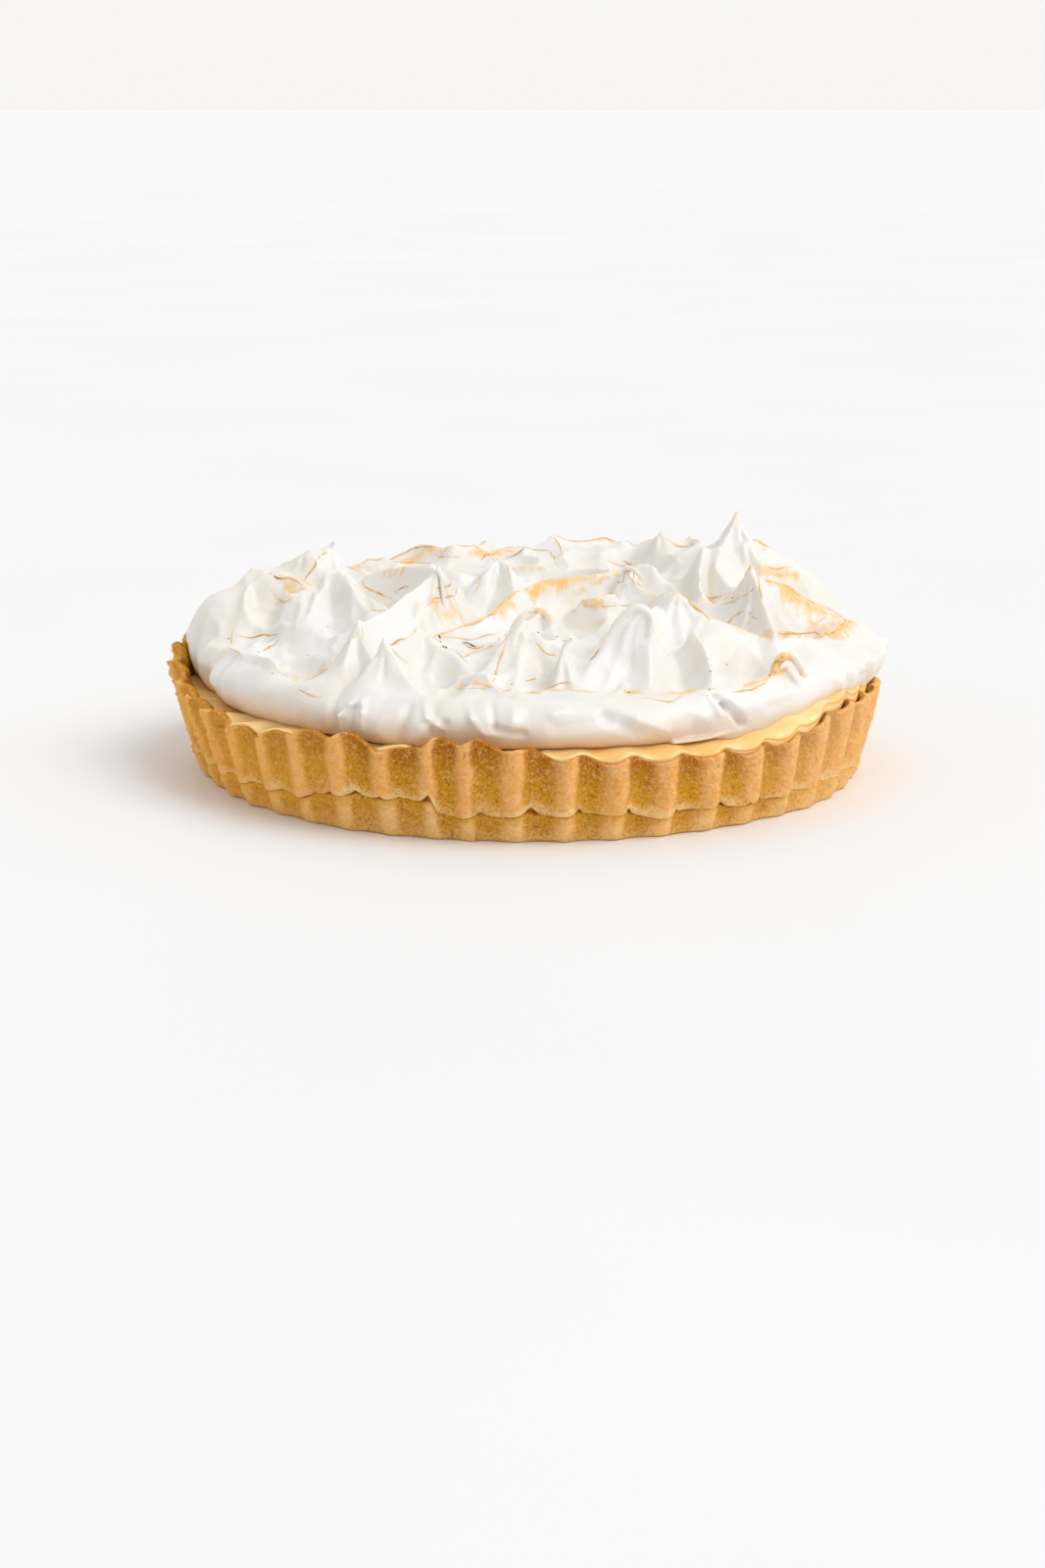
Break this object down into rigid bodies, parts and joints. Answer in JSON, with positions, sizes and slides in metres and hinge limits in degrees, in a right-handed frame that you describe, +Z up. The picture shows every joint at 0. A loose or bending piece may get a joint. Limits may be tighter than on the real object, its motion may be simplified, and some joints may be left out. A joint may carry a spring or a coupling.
{
  "type": "lemon meringue pie",
  "caption": "Whole round lemon meringue pie: fluted shortcrust shell, smooth lemon curd filling and a thick peaked meringue top with toasted tips.",
  "frame": {"origin": "middle of the flat base, on the surface that the pie rests on", "axes": "+Z up, +X to the right and -Y towards the front, where the curd shows most"},
  "size_m": [0.2558, 0.252, 0.085],
  "materials": {
    "crust": "golden-brown baked shortcrust, fine-grained and matte, darker in the grooves of the flutes",
    "lemon_filling": "smooth set lemon curd, pale yellow-orange, glossy and slightly translucent",
    "meringue": "soft white meringue with a satin gloss, its ridges and tips toasted golden to brown"
  },
  "bodies": {
    "root": {"crust": "crust", "lemon_filling": "lemon_filling", "meringue": "meringue"}
  },
  "joints": []
}
